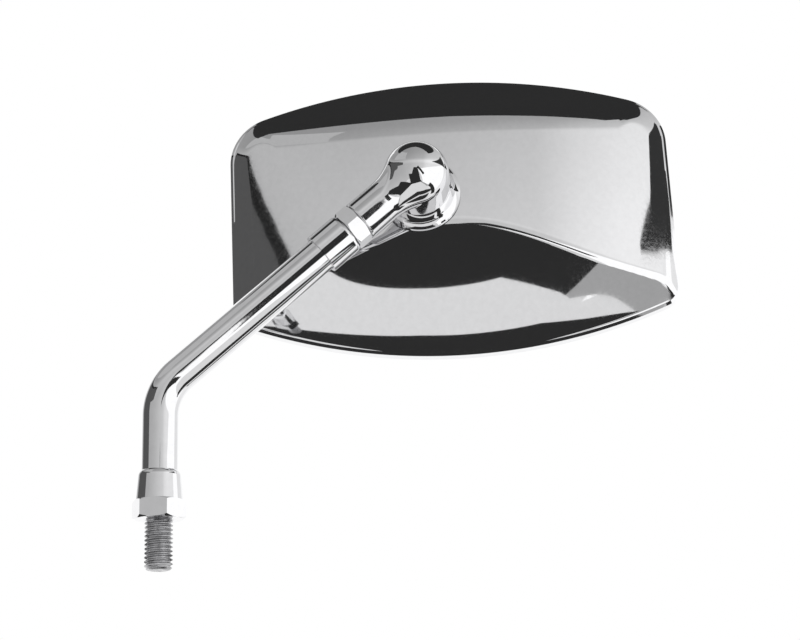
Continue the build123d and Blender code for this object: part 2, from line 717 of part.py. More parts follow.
# Pad: foam sheet glued to the back of the glass.
with BuildPart() as backing_pad:
    add(rim_slab(glass_inset + PAD_MARGIN, glass_low, BAND_HEIGHT + PAD))
    add(glass_ball(GLASS + FACE_GAP), mode=Mode.INTERSECT)
    add(glass_ball(GLASS + PAD), mode=Mode.SUBTRACT)
backing_pad.part.label = "backing_pad"
export_step(backing_pad.part, "parts/backing_pad.step")
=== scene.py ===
"""Dressed motorcycle mirror: surfaces of its stem, head, housing and glass, finishes, and a studio."""
import json

import bmesh
import bpy
import numpy as np
from bpy.props import FloatProperty, FloatVectorProperty, PointerProperty
from mathutils import Matrix, Vector


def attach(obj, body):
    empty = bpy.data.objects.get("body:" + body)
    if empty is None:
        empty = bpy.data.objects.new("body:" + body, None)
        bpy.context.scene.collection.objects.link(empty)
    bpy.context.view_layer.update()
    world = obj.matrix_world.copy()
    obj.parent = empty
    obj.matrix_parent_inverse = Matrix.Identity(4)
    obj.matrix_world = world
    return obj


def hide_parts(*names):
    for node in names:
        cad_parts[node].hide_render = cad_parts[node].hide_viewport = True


bl_info = {
    "name": "Motorcycle Mirror",
    "version": (1, 0, 0),
    "blender": (4, 5, 0),
    "location": "View3D > Sidebar > Mirror",
    "description": "Builds the looks of a plated motorcycle mirror round its packed frame",
    "category": "Object",
}

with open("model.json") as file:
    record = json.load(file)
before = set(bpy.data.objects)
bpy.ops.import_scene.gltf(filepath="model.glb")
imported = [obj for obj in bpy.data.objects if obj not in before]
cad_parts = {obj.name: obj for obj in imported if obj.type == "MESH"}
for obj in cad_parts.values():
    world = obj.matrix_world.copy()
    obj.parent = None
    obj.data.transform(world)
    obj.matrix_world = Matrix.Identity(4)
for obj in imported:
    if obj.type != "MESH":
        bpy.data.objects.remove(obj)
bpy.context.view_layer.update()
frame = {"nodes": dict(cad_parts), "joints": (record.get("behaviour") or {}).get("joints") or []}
JOINTS = {joint["name"]: joint for joint in frame["joints"]}

# Places that the frame gives: where the head turns on the rod, and where the mirror turns on the head.
CUP_CENTRE = np.array(JOINTS["head_turn"]["pos_m"])
ROD_DIR = np.array(JOINTS["head_turn"]["axis"])
FOOT_CENTRE = np.array(JOINTS["mirror_roll"]["pos_m"])
FOOT_X = np.array(JOINTS["mirror_tilt"]["axis"])
FOOT_Y = np.array(JOINTS["mirror_pan"]["axis"])
FOOT_Z = np.array(JOINTS["mirror_roll"]["axis"])

# Columns and rings of the stem's surface.
STEM_COLUMNS = 96
POINT_ROWS = 9
ROD_ROWS = 140
ROWS_PER_PITCH = 22

# Shares of a pitch that the thread's crest, root and depth take.
CREST_SHARE = 0.125
ROOT_SHARE = 0.25
THREAD_DEPTH = 0.54

# Columns of the housing along its rim: their spacing, and the fewest on an arc.
RIM_SPACING = 0.00094
ARC_COLUMNS = 6

# Rows over the housing's outer skin, how many of them go to one row of the inner skin, rows round the ledge,
# and the halvings that find a height on the facet.
SKIN_ROWS = 140
INNER_STRIDE = 8
LEDGE_ROWS = 5
SEARCH_STEPS = 40

# Columns round the head's cup and its tube, and rows along the tube, the skirt, a rounding and the ceiling.
CUP_COLUMNS = 192
TUBE_COLUMNS = 128
TUBE_ROWS = 36
SKIRT_ROWS = 20
ROUND_ROWS = 5
CEILING_ROWS = 12

# Rows of the glass's surface from its middle to its edge.
GLASS_ROWS = 14

# Angles past which an edge is sharp, on turned and on pressed pieces, the least size that counts, and how
# near points are welded.
TURNED_EDGE = np.radians(50)
PRESSED_EDGE = np.radians(35)
SIZE_MARGIN = 0.0001
WELD = 1e-7


def metres(name, description, default):
    """A setting that is a length, in metres."""
    return FloatProperty(name=name, description=description, default=default, unit="LENGTH")


def degrees(name, description, default):
    """A setting that is an angle, given in degrees."""
    return FloatProperty(name=name, description=description, default=np.radians(default), subtype="ANGLE")


def opaque(name, description, default):
    """A setting that is a colour, given by its red, green and blue."""
    return FloatVectorProperty(
        name=name, description=description, default=default + (1.0,), subtype="COLOR", size=4,
        min=0.0, max=1.0,
    )


class StemSettings(bpy.types.PropertyGroup):
    """Sizes of the bent stem and its threaded stud."""

    rod_radius: metres("Rod radius", "Radius of the plain bent rod", 0.0065)
    stud_radius: metres("Stud radius", "Crest radius of the stud's thread", 0.005)
    engaged_radius: metres("Engaged radius", "Radius of the stud and the spigot inside the nuts", 0.00451)
    pitch: metres("Thread pitch", "Advance of the thread in one turn", 0.0015)
    stud_length: metres("Stud length", "Length of the stud below the lock nut", 0.018)
    stud_point: metres("Stud point", "Height of the rounded point", 0.0018)
    relief: metres("Relief", "Length over which the thread runs out under the nut", 0.0009)
    shoulder: metres("Shoulder", "Height of the rod's shoulder above the nut's seat", 0.008)
    bend_radius: metres("Bend radius", "Radius of the rod's bend on its centre line", 0.02)
    rod_stop: metres("Rod stop", "Distance from the head's centre to the rod's upper shoulder", 0.03605)
    spigot_stop: metres("Spigot stop", "Distance from the head's centre to the end of the spigot", 0.014)
    spigot_point: metres("Spigot point", "Chamfer at the end of the spigot", 0.001)


class HousingSettings(bpy.types.PropertyGroup):
    """Sizes of the pressed housing, and how softly its faces run into one another."""

    width: metres("Width", "Width of the rim", 0.172)
    side: metres("Side", "Height of the rim's straight sides, up to the corners' apexes", 0.080)
    top_crown: metres("Top crown", "Rise of the rim's upper arc", 0.0166)
    bottom_crown: metres("Bottom crown", "Drop of the rim's lower arc", 0.0177)
    top_corner: metres("Top corner", "Radius of the upper corners", 0.020)
    bottom_corner: metres("Bottom corner", "Radius of the lower corners", 0.008)
    barrel: metres("Barrel radius", "Radius of the curved back", 0.172)
    end_depth: metres("End depth", "Depth of the back at its ends", 0.0076)
    pitch: degrees("Pitch", "Lean of the back against the rim", 2.5)
    foot_offset: metres("Foot offset", "Place of the pedestal along the back", -0.0114)
    foot_drop: metres("Foot drop", "Place of the pedestal below the rim's middle", 0.0018)
    hole: metres("Hole radius", "Radius of the hole under the pedestal", 0.01315)
    top_run: metres("Top run", "How far the upper wall leans in", 0.02679)
    facet_run: metres("Facet run", "How far the middle of the lower facet leans in", 0.04087)
    facet_swell: metres("Facet swell", "Bulge of the lower facet", 0.0045)
    end_draft: degrees("End draft", "Lean of the end walls", 31.0)
    facet_draft: degrees("Facet draft", "Lean of the ends of the lower facet", 40.0)
    band: metres("Band", "Height of the rim's band", 0.0054)
    ledge: metres("Ledge", "Step between the band and the walls", 0.001)
    sheet: metres("Sheet", "Thickness of the sheet", 0.001)
    top_blend: metres("Top blend", "Height over which the upper wall runs into the back", 0.006)
    crease_blend: metres("Crease blend", "Height over which the facet runs into the back", 0.0014)
    end_blend: metres("End blend", "Height over which the end walls run into the back", 0.004)


class HeadSettings(bpy.types.PropertyGroup):
    """Sizes of the swivel head: a domed cup with a tube on its side."""

    cup: metres("Cup radius", "Radius of the cup's dome and of its skirt", 0.01209)
    tube: metres("Tube radius", "Radius of the side tube", 0.00775)
    throat: metres("Throat", "Radius of the throat between the cup and the tube", 0.020)
    reach: metres("Reach", "Length of the tube from the cup's centre", 0.028)
    tube_round: metres("Tube round", "Rounding of the tube's end", 0.0005)
    bore: metres("Bore radius", "Radius of the bore for the stem's spigot", 0.004613)
    bore_stop: metres("Bore stop", "Distance from the cup's centre to the end of the bore", 0.013)
    skirt: metres("Skirt", "Length of the skirt below the cup's centre", 0.0105)
    lip_wall: metres("Lip wall", "Thickness of the skirt at its lip", 0.001)
    lip_round: metres("Lip round", "Rounding of the lip", 0.0004)
    shelf: metres("Shelf", "Depth of the shelf over the seat ring, below the cup's centre", 0.0077)
    ceiling: metres("Ceiling radius", "Radius of the hollow's round ceiling about the foot", 0.0141)
    bolt_hole: metres("Bolt hole", "Radius of the blind hole for the bolt", 0.002775)
    bolt_top: metres("Bolt top", "Height of the blind hole above the cup's centre", 0.0054)


class GlassSettings(bpy.types.PropertyGroup):
    """Sizes of the convex glass."""

    radius: metres("Radius", "Radius of the glass's front", 1.4)
    proud: metres("Proud", "How far the middle of the glass stands out of the rim", 0.001)
    thickness: metres("Thickness", "Thickness of the glass", 0.002)
    inset: metres("Inset", "How far the glass's edge lies inside the rim", 0.0025)


class FinishSettings(bpy.types.PropertyGroup):
    """Colours of the finishes."""

    chrome: opaque("Chrome", "Reflection colour of the bright plate", (0.80, 0.80, 0.81))
    steel: opaque("Steel", "Reflection colour of the cut thread and the turned pieces", (0.50, 0.50, 0.51))
    rubber: opaque("Rubber", "Colour of the seal and the gasket", (0.022, 0.022, 0.024))
    nylon: opaque("Nylon", "Colour of the bearing rings", (0.74, 0.72, 0.66))
    glass: opaque("Silvering", "Reflection colour of the silvered glass", (0.86, 0.88, 0.88))
    foam: opaque("Foam", "Colour of the pad behind the glass", (0.05, 0.05, 0.055))


class StageSettings(bpy.types.PropertyGroup):
    """Camera and floor."""

    distance: metres("Camera distance", "Distance of the origin along the line of sight", 0.682)
    azimuth: degrees("Azimuth", "Turn of the camera about the stud", 0.317)
    elevation: degrees("Elevation", "Height angle of the camera", -15.376)
    roll: degrees("Roll", "Roll of the camera about its line of sight", -1.156)
    aim_right: metres("Aim right", "How far the line of sight passes to the right of the origin", 0.08473)
    aim_up: metres("Aim up", "How far the line of sight passes above the origin", 0.07014)
    lens: FloatProperty(name="Lens", description="Focal length on the sensor, in millimetres", default=87.3)
    floor: metres("Floor height", "Height of the floor", -0.16)


def settings(group):
    """The named settings group of the scene."""
    return getattr(bpy.context.scene, group)


def linked_mesh(name, points, faces, *materials):
    """Mesh object from an array of points and a list of faces, linked to the scene."""
    mesh = bpy.data.meshes.new(name)
    mesh.from_pydata(points.reshape(-1, 3).tolist(), [], faces)
    for material in materials:
        mesh.materials.append(material)
    item = bpy.data.objects.new(name, mesh)
    bpy.context.scene.collection.objects.link(item)
    return item


def smooth_piece(name, points, faces, body, slot, *materials):
    """Smoothly shaded piece of the mirror, riding on a body."""
    piece = linked_mesh(name, points, faces, *materials)
    piece.data.shade_smooth()
    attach(piece, body)
    return piece


def tube_faces(rows, columns, ring=False):
    """Quads of a grid whose columns close on themselves, and in a ring the last row meets the first."""
    row = np.arange(rows if ring else rows - 1)[:, None]
    next_row = (row + 1) % rows
    column = np.arange(columns)[None, :]
    after = (column + 1) % columns
    corners = (
        row * columns + column,
        row * columns + after,
        next_row * columns + after,
        next_row * columns + column,
    )
    return np.stack(corners, axis=-1).reshape(-1, 4)


def sheet_faces(rows, columns):
    """Quads of an open grid."""
    corner = (np.arange(rows - 1)[:, None] * columns + np.arange(columns - 1)[None, :]).ravel()
    return np.stack([corner, corner + 1, corner + columns + 1, corner + columns], axis=-1)


def weld(piece):
    """Join a piece's points that meet, and turn its faces outwards."""
    shell = bmesh.new()
    shell.from_mesh(piece.data)
    bmesh.ops.remove_doubles(shell, verts=shell.verts, dist=WELD)
    bmesh.ops.recalc_face_normals(shell, faces=shell.faces)
    shell.to_mesh(piece.data)
    shell.free()


# Fineness of the noises' detail, and the values between which most of a noise lies.
NOISE_ROUGHNESS = 0.55
NOISE_LOW = 0.3
NOISE_HIGH = 0.7


class Recipe:
    """A node material under construction, with the shader at its end."""

    def __init__(self, name):
        self.material = bpy.data.materials.new(name)
        self.material.use_nodes = True
        self.nodes = self.material.node_tree.nodes
        self.links = self.material.node_tree.links
        self.shader = self.nodes["Principled BSDF"]
        self.place = self.nodes.new("ShaderNodeTexCoord").outputs["Object"]

    def stretched(self, scale, turn=(0, 0, 0)):
        """Object coordinates turned and stretched, for grain that runs one way."""
        mapping = self.nodes.new("ShaderNodeMapping")
        mapping.inputs["Rotation"].default_value = turn
        mapping.inputs["Scale"].default_value = scale
        self.links.new(self.place, mapping.inputs["Vector"])
        return mapping.outputs["Vector"]

    def noise(self, scale, detail=4.0, vector=None):
        """Noise at a scale given in cells per metre."""
        node = self.nodes.new("ShaderNodeTexNoise")
        node.inputs["Scale"].default_value = scale
        node.inputs["Detail"].default_value = detail
        node.inputs["Roughness"].default_value = NOISE_ROUGHNESS
        self.links.new(vector or self.place, node.inputs["Vector"])
        return node.outputs["Fac"]

    def spread(self, noise, low, high):
        """A noise mapped to the range from low to high."""
        node = self.nodes.new("ShaderNodeMapRange")
        node.inputs["From Min"].default_value = NOISE_LOW
        node.inputs["From Max"].default_value = NOISE_HIGH
        node.inputs["To Min"].default_value = low
        node.inputs["To Max"].default_value = high
        self.links.new(noise, node.inputs["Value"])
        return node.outputs["Result"]

    def shade(self, noise, dark, light):
        """A colour that runs from dark to light with a noise."""
        node = self.nodes.new("ShaderNodeValToRGB")
        node.color_ramp.elements[0].position = NOISE_LOW
        node.color_ramp.elements[1].position = NOISE_HIGH
        node.color_ramp.elements[0].color = dark
        node.color_ramp.elements[1].color = light
        self.links.new(noise, node.inputs["Fac"])
        return node.outputs["Color"]

    def bump(self, height, strength, distance):
        """A bump of a height field."""
        node = self.nodes.new("ShaderNodeBump")
        node.inputs["Strength"].default_value = strength
        node.inputs["Distance"].default_value = distance
        self.links.new(height, node.inputs["Height"])
        return node.outputs["Normal"]

    def feed(self, socket, value):
        """Link a value to one of the shader's sockets."""
        self.links.new(value, self.shader.inputs[socket])

    def fix(self, **values):
        """Set constant values on the shader's own sockets."""
        for socket, value in values.items():
            self.shader.inputs[socket.replace("_", " ")].default_value = value


def tinted(colour, factor):
    """A colour made darker or lighter by a factor."""
    return tuple(min(1.0, channel * factor) for channel in colour[:3]) + (1.0,)


def grey(tone):
    """The colour of a grey tone."""
    return (tone, tone, tone, 1.0)


def bright_plate(name, wave_scale, wave_depth):
    """Chrome plate: almost clear reflections, broken by faint waves of the pressing and polishing haze."""
    colour = settings("mirror_finish").chrome
    recipe = Recipe(name)
    recipe.fix(Metallic=1.0)
    haze = recipe.noise(scale=420.0, detail=6.0)
    recipe.feed("Base Color", recipe.shade(haze, tinted(colour, 0.975), tinted(colour, 1.02)))
    polish = recipe.stretched(scale=(1.0, 0.12, 1.0), turn=(0.0, 0.7, 0.3))
    streaks = recipe.noise(scale=900.0, detail=3.0, vector=polish)
    recipe.feed("Roughness", recipe.spread(streaks, low=0.025, high=0.06))
    waves = recipe.noise(wave_scale, detail=1.0)
    recipe.feed("Normal", recipe.bump(waves, strength=1.0, distance=wave_depth))
    return recipe.material


def cut_thread_steel():
    """Dull plated steel of the stud: grey, with darker dirt and tool marks along the thread."""
    colour = settings("mirror_finish").steel
    recipe = Recipe("cut_thread_steel")
    recipe.fix(Metallic=1.0)
    stain = recipe.noise(scale=300.0, detail=6.0)
    recipe.feed("Base Color", recipe.shade(stain, tinted(colour, 0.62), tinted(colour, 1.25)))
    recipe.feed("Roughness", recipe.spread(recipe.noise(scale=700.0), low=0.22, high=0.42))
    marks = recipe.noise(scale=2600.0, detail=2.0, vector=recipe.stretched(scale=(1.0, 1.0, 3.0)))
    recipe.feed("Normal", recipe.bump(marks, strength=0.35, distance=0.00006))
    return recipe.material


def turned_steel():
    """Plain turned steel of the pieces inside the joint: fine rings and a light oil stain."""
    colour = settings("mirror_finish").steel
    recipe = Recipe("turned_steel")
    recipe.fix(Metallic=1.0)
    stain = recipe.noise(scale=160.0, detail=5.0)
    recipe.feed("Base Color", recipe.shade(stain, tinted(colour, 0.8), tinted(colour, 1.1)))
    recipe.feed("Roughness", recipe.spread(recipe.noise(scale=500.0), low=0.25, high=0.4))
    rings = recipe.noise(scale=3000.0, detail=2.0, vector=recipe.stretched(scale=(0.1, 1.0, 0.1)))
    recipe.feed("Normal", recipe.bump(rings, strength=0.3, distance=0.00004))
    return recipe.material


def moulded_rubber():
    """Black moulded rubber: matt, with a fine grain and greyer worn patches."""
    colour = settings("mirror_finish").rubber
    recipe = Recipe("moulded_rubber")
    wear = recipe.noise(scale=180.0, detail=5.0)
    recipe.feed("Base Color", recipe.shade(wear, tinted(colour, 0.8), tinted(colour, 1.7)))
    recipe.feed("Roughness", recipe.spread(wear, low=0.55, high=0.75))
    grain = recipe.noise(scale=5200.0, detail=2.0)
    recipe.feed("Normal", recipe.bump(grain, strength=0.35, distance=0.00008))
    return recipe.material


def natural_nylon():
    """Natural nylon: waxy off-white with a faint mould grain."""
    colour = settings("mirror_finish").nylon
    recipe = Recipe("natural_nylon")
    recipe.fix(Subsurface_Weight=0.08)
    cloud = recipe.noise(scale=140.0)
    recipe.feed("Base Color", recipe.shade(cloud, tinted(colour, 0.92), tinted(colour, 1.04)))
    recipe.feed("Roughness", recipe.spread(cloud, low=0.38, high=0.5))
    grain = recipe.noise(scale=2600.0, detail=2.0)
    recipe.feed("Normal", recipe.bump(grain, strength=0.2, distance=0.00005))
    return recipe.material


def silvered_glass():
    """Silvered glass: a clear reflection under a clear coat, with faint wipe marks."""
    colour = settings("mirror_finish").glass
    recipe = Recipe("silvered_glass")
    recipe.fix(Metallic=1.0, Coat_Weight=0.6, Coat_Roughness=0.01)
    cloud = recipe.noise(scale=14.0, detail=3.0)
    recipe.feed("Base Color", recipe.shade(cloud, tinted(colour, 0.985), colour))
    wiping = recipe.stretched(scale=(0.25, 1.0, 1.0), turn=(0.0, 0.5, 0.0))
    wipes = recipe.noise(scale=260.0, vector=wiping)
    recipe.feed("Roughness", recipe.spread(wipes, low=0.004, high=0.016))
    return recipe.material


def cell_foam():
    """Closed-cell foam: dark, matt and pitted."""
    colour = settings("mirror_finish").foam
    recipe = Recipe("cell_foam")
    cells = recipe.noise(scale=1500.0, detail=3.0)
    recipe.feed("Base Color", recipe.shade(cells, tinted(colour, 0.6), tinted(colour, 1.4)))
    recipe.feed("Roughness", recipe.spread(cells, low=0.85, high=0.97))
    recipe.feed("Normal", recipe.bump(cells, strength=0.6, distance=0.0003))
    return recipe.material


FINISHES = {
    "plate_pressed": lambda: bright_plate("plate_pressed", 26.0, 0.0001),
    "plate_turned": lambda: bright_plate("plate_turned", 70.0, 0.00006),
    "cut_thread_steel": cut_thread_steel,
    "turned_steel": turned_steel,
    "moulded_rubber": moulded_rubber,
    "natural_nylon": natural_nylon,
    "silvered_glass": silvered_glass,
    "cell_foam": cell_foam,
}
NODE_FINISH = {
    "stem": "plate_turned",
    "stem_lock_nut": "plate_turned",
    "head_lock_nut": "plate_turned",
    "swivel_head": "plate_turned",
    "pedestal": "plate_turned",
    "housing": "plate_pressed",
    "seat_ring": "natural_nylon",
    "spring_seat": "natural_nylon",
    "clamp_bolt": "turned_steel",
    "bolt_washer": "turned_steel",
    "spring": "turned_steel",
    "pressure_cup": "turned_steel",
    "stiffener_plate": "turned_steel",
    "saddle_washer": "turned_steel",
    "ring_nut": "turned_steel",
    "pedestal_gasket": "moulded_rubber",
    "glass_seal": "moulded_rubber",
    "mirror_glass": "silvered_glass",
    "backing_pad": "cell_foam",
}


def finish(name):
    """The named finish, made the first time it is asked for."""
    return bpy.data.materials.get(name) or FINISHES[name]()


class MIRROR_OT_finishes(bpy.types.Operator):
    """Give every piece of the frame its own finish"""

    bl_idname = "mirror.finishes"
    bl_label = "Finishes"

    def execute(self, context):
        for node, name in NODE_FINISH.items():
            piece = frame["nodes"][node]
            piece.data.materials.clear()
            piece.data.materials.append(finish(name))
        return {"FINISHED"}


def stem_bend(stem):
    """Turn of the bend, height where the stud's axis meets the rod's, and the bend's reach from there."""
    turn = np.arccos(ROD_DIR[2])
    corner = CUP_CENTRE[2] - ROD_DIR[2] * CUP_CENTRE[0] / ROD_DIR[0]
    return turn, corner, stem.bend_radius * np.tan(turn / 2)


def stem_centre_line(length, stem):
    """Points of the stem's centre line and the turn of its direction, at lengths from the stud's tip.

    It rises along the stud's axis, turns on an arc that touches both that axis and the rod's, and goes on
    straight to the head.
    """
    turn, corner, tangent = stem_bend(stem)
    before = corner - tangent + stem.stud_length
    angle = np.clip((length - before) / stem.bend_radius, 0, turn)
    rise = np.minimum(length, before) - stem.stud_length
    after = np.maximum(length - before - stem.bend_radius * turn, 0)
    x = stem.bend_radius * (1 - np.cos(angle)) + after * np.sin(turn)
    z = rise + stem.bend_radius * np.sin(angle) + after * np.cos(turn)
    return np.stack([x, np.zeros_like(x), z], axis=-1), angle


def stem_length(distance, stem):
    """Length along the stem from the stud's tip to a distance short of the head's centre."""
    turn, corner, tangent = stem_bend(stem)
    reach = CUP_CENTRE[0] / ROD_DIR[0]
    return stem.stud_length + corner + reach - 2 * tangent + stem.bend_radius * turn - distance


def stem_rows(stem):
    """Lengths from the tip and radii of the rings: point, thread, shank, rod and spigot, steps sharp."""
    share = np.linspace(0, 1, POINT_ROWS)
    tip_radius = stem.stud_radius - stem.stud_point
    point_radius = tip_radius + stem.stud_point * np.sqrt(1 - (1 - share) ** 2)
    thread_end = stem.stud_length - stem.relief
    thread_rows = round((thread_end - stem.stud_point) / stem.pitch * ROWS_PER_PITCH)
    threaded = np.linspace(stem.stud_point, thread_end, thread_rows)
    shoulder = stem.stud_length + stem.shoulder
    rod_end = stem_length(stem.rod_stop, stem)
    rod = np.linspace(shoulder, rod_end, ROD_ROWS)
    spigot_end = stem_length(stem.spigot_stop, stem)
    spigot = np.array([rod_end, spigot_end - stem.spigot_point, spigot_end])
    engaged = stem.engaged_radius
    length = np.concatenate([share * stem.stud_point, threaded, [stem.stud_length, shoulder], rod, spigot])
    radius = np.concatenate(
        [
            point_radius,
            np.full(thread_rows, stem.stud_radius),
            [engaged, engaged],
            np.full(ROD_ROWS, stem.rod_radius),
            [engaged, engaged, engaged - stem.spigot_point],
        ]
    )
    return length, radius


def thread_radius(length, angle, stem):
    """Radius of a sixty-degree thread: flat crests and roots joined by flanks, one pitch on each turn."""
    phase = np.abs((length / stem.pitch - angle / (2 * np.pi)) % 1 - 0.5) * 2
    depth = THREAD_DEPTH * stem.pitch
    cut = np.clip((phase - CREST_SHARE) / (1 - CREST_SHARE - ROOT_SHARE), 0, 1)
    runout = np.clip((stem.stud_length - length) / stem.relief, 0, 1)
    return stem.stud_radius - depth * np.where(runout < 1, 1, cut)


def stem_points(stem):
    """Rings of the profile set square to the centre line, the stud's ones cut by the thread."""
    length, radius = stem_rows(stem)
    centre, turn = stem_centre_line(length, stem)
    angle = np.linspace(0, 2 * np.pi, STEM_COLUMNS, endpoint=False)
    across = np.stack([np.cos(turn), np.zeros_like(turn), -np.sin(turn)], axis=-1)
    outward = np.cos(angle)[None, :, None] * across[:, None, :]
    outward = outward + np.sin(angle)[None, :, None] * np.array([0.0, 1.0, 0.0])
    cut = thread_radius(length[:, None], angle[None, :], stem)
    on_stud = (length < stem.stud_length)[:, None]
    reach = np.where(on_stud, np.minimum(radius[:, None], cut), radius[:, None])
    return centre[:, None, :] + reach[:, :, None] * outward


class MIRROR_OT_stem(bpy.types.Operator):
    """Build the bent rod with its threaded stud"""

    bl_idname = "mirror.stem"
    bl_label = "Stem"

    def execute(self, context):
        stem = settings("mirror_stem")
        points = stem_points(stem)
        rows = len(points)
        sides = tube_faces(rows, STEM_COLUMNS)
        tip = list(range(STEM_COLUMNS))[::-1]
        end = list(range((rows - 1) * STEM_COLUMNS, rows * STEM_COLUMNS))
        piece = smooth_piece(
            "stem_surface", points, sides.tolist() + [tip, end], "stem", "chrome",
            finish("cut_thread_steel"), finish("plate_turned"),
        )
        radius = stem_rows(stem)[1]
        plated = np.repeat(radius[:-1] > stem.stud_radius + SIZE_MARGIN, STEM_COLUMNS)
        piece.data.polygons.foreach_set("material_index", np.append(plated, [False, False]).astype(np.int32))
        piece.data.set_sharp_from_angle(angle=TURNED_EDGE)
        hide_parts("stem")
        return {"FINISHED"}


def crown_radius(chord, crown):
    """Radius of the arc that rises by a crown over a chord."""
    return ((chord / 2) ** 2 + crown**2) / (2 * crown)


def smooth_least(first, second, blend):
    """Lesser of two heights, rounded off where they come within a blend of each other."""
    near = np.maximum(blend - np.abs(first - second), 0)
    return np.minimum(first, second) - near**2 / (4 * blend)


class Rim:
    """Frame and outline of the housing's rim, worked out from its settings."""

    def __init__(self, housing):
        self.half = housing.width / 2
        barrel_rise = housing.barrel - np.sqrt(housing.barrel**2 - self.half**2)
        self.depth = housing.end_depth + barrel_rise
        self.top_radius = crown_radius(housing.width, housing.top_crown)
        self.bottom_radius = crown_radius(housing.width, housing.bottom_crown)
        self.top_axis = housing.side / 2 + housing.top_crown - self.top_radius
        self.bottom_axis = self.bottom_radius - housing.side / 2 - housing.bottom_crown
        # Each corner's arc touches a side and an arc, so its centre lies on circles within both.
        self.upper_x = self.half - housing.top_corner
        self.lower_x = self.half - housing.bottom_corner
        upper_reach = self.top_radius - housing.top_corner
        lower_reach = self.bottom_radius - housing.bottom_corner
        self.upper_y = self.top_axis + np.sqrt(upper_reach**2 - self.upper_x**2)
        self.lower_y = self.bottom_axis - np.sqrt(lower_reach**2 - self.lower_x**2)
        self.upper_angle = np.arctan2(self.upper_y - self.top_axis, self.upper_x)
        self.lower_angle = np.arctan2(self.lower_y - self.bottom_axis, self.lower_x)
        self.place(housing)

    def place(self, housing):
        """Axes and origin: the pedestal's frame turned round the barrel, pitched, and sunk by the depth."""
        turn = -np.arcsin(housing.foot_offset / housing.barrel)
        outward = np.sin(turn) * FOOT_X + np.cos(turn) * FOOT_Z
        self.x_axis = np.cos(turn) * FOOT_X - np.sin(turn) * FOOT_Z
        self.y_axis = np.cos(housing.pitch) * FOOT_Y + np.sin(housing.pitch) * outward
        self.z_axis = np.cos(housing.pitch) * outward - np.sin(housing.pitch) * FOOT_Y
        barrel_axis = FOOT_CENTRE - housing.barrel * FOOT_Z + housing.foot_drop * FOOT_Y
        self.origin = barrel_axis + housing.barrel * outward - self.depth * self.z_axis
        to_foot = FOOT_CENTRE - self.origin
        self.foot = np.array([to_foot @ self.x_axis, to_foot @ self.y_axis])

    def raised(self, plan, height):
        """Points of the rim's plane, raised off it by their heights, in the shared frame."""
        axes = np.stack([self.x_axis, self.y_axis])
        return self.origin + plan @ axes + height[..., None] * self.z_axis

    def outline(self, housing):
        """Points round the rim and the outward directions there: arcs and sides from the lowest point up."""
        arcs = (
            ((0, self.bottom_axis), self.bottom_radius, -np.pi / 2, self.lower_angle),
            ((self.lower_x, self.lower_y), housing.bottom_corner, self.lower_angle, 0),
            ((self.upper_x, self.upper_y), housing.top_corner, 0, self.upper_angle),
            ((0, self.top_axis), self.top_radius, self.upper_angle, np.pi / 2),
        )
        points, outward = [], []
        for centre, radius, start, end in arcs:
            steps = max(ARC_COLUMNS, round(radius * (end - start) / RIM_SPACING))
            turn = np.linspace(start, end, steps, endpoint=False)
            outward.append(np.stack([np.cos(turn), np.sin(turn)], axis=-1))
            points.append(np.array(centre) + radius * outward[-1])
        steps = round((self.upper_y - self.lower_y) / RIM_SPACING)
        side_y = np.linspace(self.lower_y, self.upper_y, steps, endpoint=False)
        points.insert(2, np.stack([np.full(steps, self.half), side_y], axis=-1))
        outward.insert(2, np.tile([1.0, 0.0], (steps, 1)))
        points, outward = np.concatenate(points), np.concatenate(outward)
        # The other half is the same points seen in a mirror, from the highest one down.
        top = np.array([[0.0, self.top_axis + self.top_radius]])
        flip = np.array([-1.0, 1.0])
        points = np.concatenate([points, top, points[:0:-1] * flip])
        outward = np.concatenate([outward, [[0.0, 1.0]], outward[:0:-1] * flip])
        return points, outward


def facet_height(x, y, rim, housing):
    """Height of the lower facet: for every level its foot is a curve that bends from the ends to the middle.

    The curve's middle moves in with the level by the facet's run, less its swell, and its ends by their
    draft, so the height is the level whose curve passes through the point, found by halving.
    """
    rise = rim.depth - housing.band
    foot_half = rim.half - housing.ledge
    foot_radius = rim.bottom_radius - housing.ledge
    foot_middle = rim.bottom_axis - foot_radius
    foot_end = rim.bottom_axis - np.sqrt(foot_radius**2 - foot_half**2)
    low = np.full_like(x, -rise)
    high = np.full_like(x, 2 * rise)
    for _ in range(SEARCH_STEPS):
        level = (low + high) / 2
        share = level / rise
        middle = foot_middle + housing.facet_run * share - 4 * housing.facet_swell * share * (1 - share)
        end = foot_end + level * np.tan(housing.facet_draft)
        half = foot_half - level * np.tan(housing.end_draft)
        over = middle + (end - middle) * (x / half) ** 2 > y
        high = np.where(over, level, high)
        low = np.where(over, low, level)
    return housing.band + (low + high) / 2


